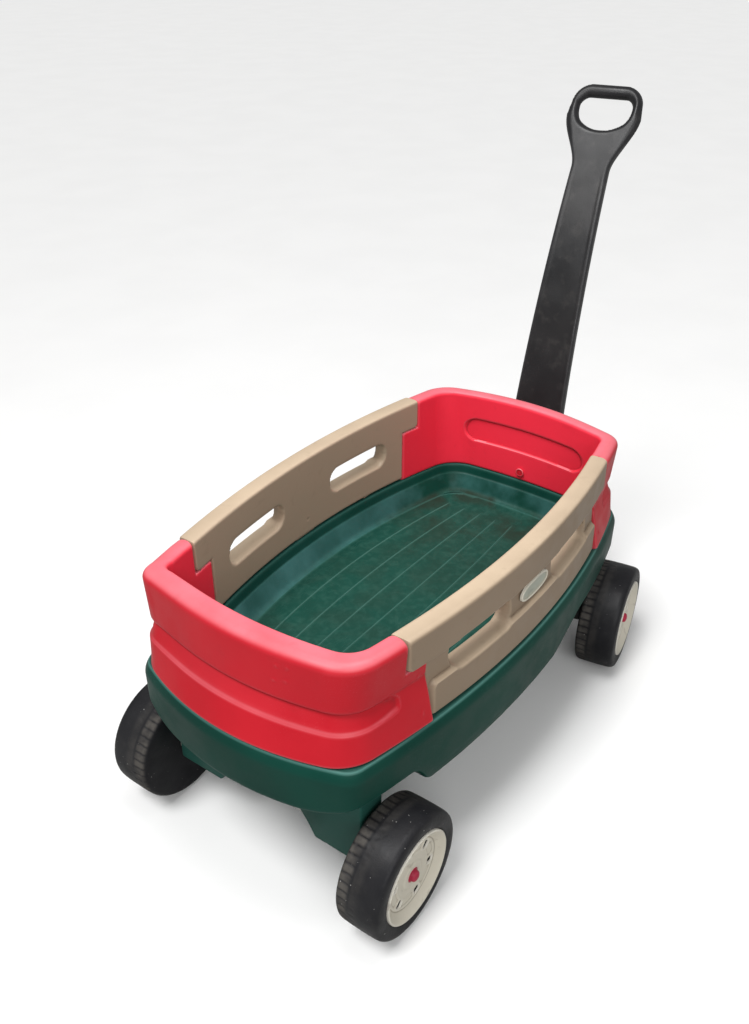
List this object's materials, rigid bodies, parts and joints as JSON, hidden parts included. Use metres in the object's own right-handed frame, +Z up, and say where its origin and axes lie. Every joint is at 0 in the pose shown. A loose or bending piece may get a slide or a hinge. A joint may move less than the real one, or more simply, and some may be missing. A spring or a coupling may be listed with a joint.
{
  "type": "kids pull wagon",
  "caption": "Ride-in pull wagon with a moulded tub, end walls, lift-out side panels with hand slots, steered front wheels and a long hinged handle.",
  "frame": {"origin": "on the ground under the middle of the whole wagon's box, handle included; the bed's middle is at x = -0.1689", "axes": "+X towards the handle end, +Y to the wagon's left, +Z up; rest pose has the front wheels turned 9.7 degrees to the left and the handle standing up"},
  "size_m": [1.3232, 0.5932, 1.0654],
  "materials": {
    "tub_plastic": "satin polyethylene, lightly scuffed",
    "end_panel_plastic": "satin polyethylene, faded on its upper edges",
    "side_panel_plastic": "satin polyethylene",
    "badge_plastic": "semi-gloss",
    "plug_plastic": "satin",
    "handle_plastic": "satin black with fine scuffs",
    "bolster_plastic": "matte black moulding",
    "tyre_plastic": "hollow moulded black tyre, dusty tread",
    "disc_plastic": "semi-gloss cream moulding",
    "cap_plastic": "semi-gloss red push-on cap",
    "bearing_plastic": "natural nylon",
    "steel": "zinc plated",
    "insert_brass": "plain"
  },
  "bodies": {
    "wagon_body": {"tub": "tub_plastic", "front_end_panel": "end_panel_plastic", "rear_end_panel": "end_panel_plastic", "end_panel_plugs": "plug_plastic", "rear_axle": "steel", "rear_axle_washers": "steel", "rear_axle_caps": "cap_plastic", "kingpin": "steel", "kingpin_insert": "insert_brass", "kingpin_washer": "steel"},
    "left_side": {"left_side_panel": "side_panel_plastic", "left_badge": "badge_plastic"},
    "right_side": {"right_side_panel": "side_panel_plastic", "right_badge": "badge_plastic"},
    "steering": {"bolster": "bolster_plastic", "kingpin_sleeve": "bearing_plastic", "front_axle": "steel", "front_axle_washers": "steel", "front_axle_caps": "cap_plastic", "pivot_pin": "steel", "pivot_pin_cap": "steel"},
    "pull_handle": {"handle": "handle_plastic", "handle_sleeve": "bearing_plastic"},
    "rear_left_wheel": {"rear_left_tyre": "tyre_plastic", "rear_left_disc": "disc_plastic", "rear_left_bushing": "bearing_plastic"},
    "rear_right_wheel": {"rear_right_tyre": "tyre_plastic", "rear_right_disc": "disc_plastic", "rear_right_bushing": "bearing_plastic"},
    "front_left_wheel": {"front_left_tyre": "tyre_plastic", "front_left_disc": "disc_plastic", "front_left_bushing": "bearing_plastic"},
    "front_right_wheel": {"front_right_tyre": "tyre_plastic", "front_right_disc": "disc_plastic", "front_right_bushing": "bearing_plastic"}
  },
  "joints": [
    {"name": "left_side_lift", "type": "slide", "parent": "wagon_body", "child": "left_side", "axis": [0, 0, 1], "range_m": [0, 0.25]},
    {"name": "right_side_lift", "type": "slide", "parent": "wagon_body", "child": "right_side", "axis": [0, 0, 1], "range_m": [0, 0.25]},
    {"name": "steer", "type": "hinge", "parent": "wagon_body", "child": "steering", "pos_m": [0.20209, 0, 0.2], "axis": [0, 0, 1], "range_deg": [-24.7, 5.3]},
    {"name": "handle_tilt", "type": "hinge", "parent": "steering", "child": "pull_handle", "pos_m": [0.34009, 0.02359, 0.185], "axis": [-0.1685, 0.9857, 0], "range_deg": [0, 78]},
    {"name": "rear_left_roll", "type": "hinge", "parent": "wagon_body", "child": "rear_left_wheel", "pos_m": [-0.54591, 0.2455, 0.11], "axis": [0, 1, 0], "continuous": true},
    {"name": "rear_right_roll", "type": "hinge", "parent": "wagon_body", "child": "rear_right_wheel", "pos_m": [-0.54591, -0.2455, 0.11], "axis": [0, 1, 0], "continuous": true},
    {"name": "front_left_roll", "type": "hinge", "parent": "steering", "child": "front_left_wheel", "pos_m": [0.16073, 0.24199, 0.11], "axis": [-0.1685, 0.9857, 0], "continuous": true},
    {"name": "front_right_roll", "type": "hinge", "parent": "steering", "child": "front_right_wheel", "pos_m": [0.24345, -0.24199, 0.11], "axis": [-0.1685, 0.9857, 0], "continuous": true}
  ]
}
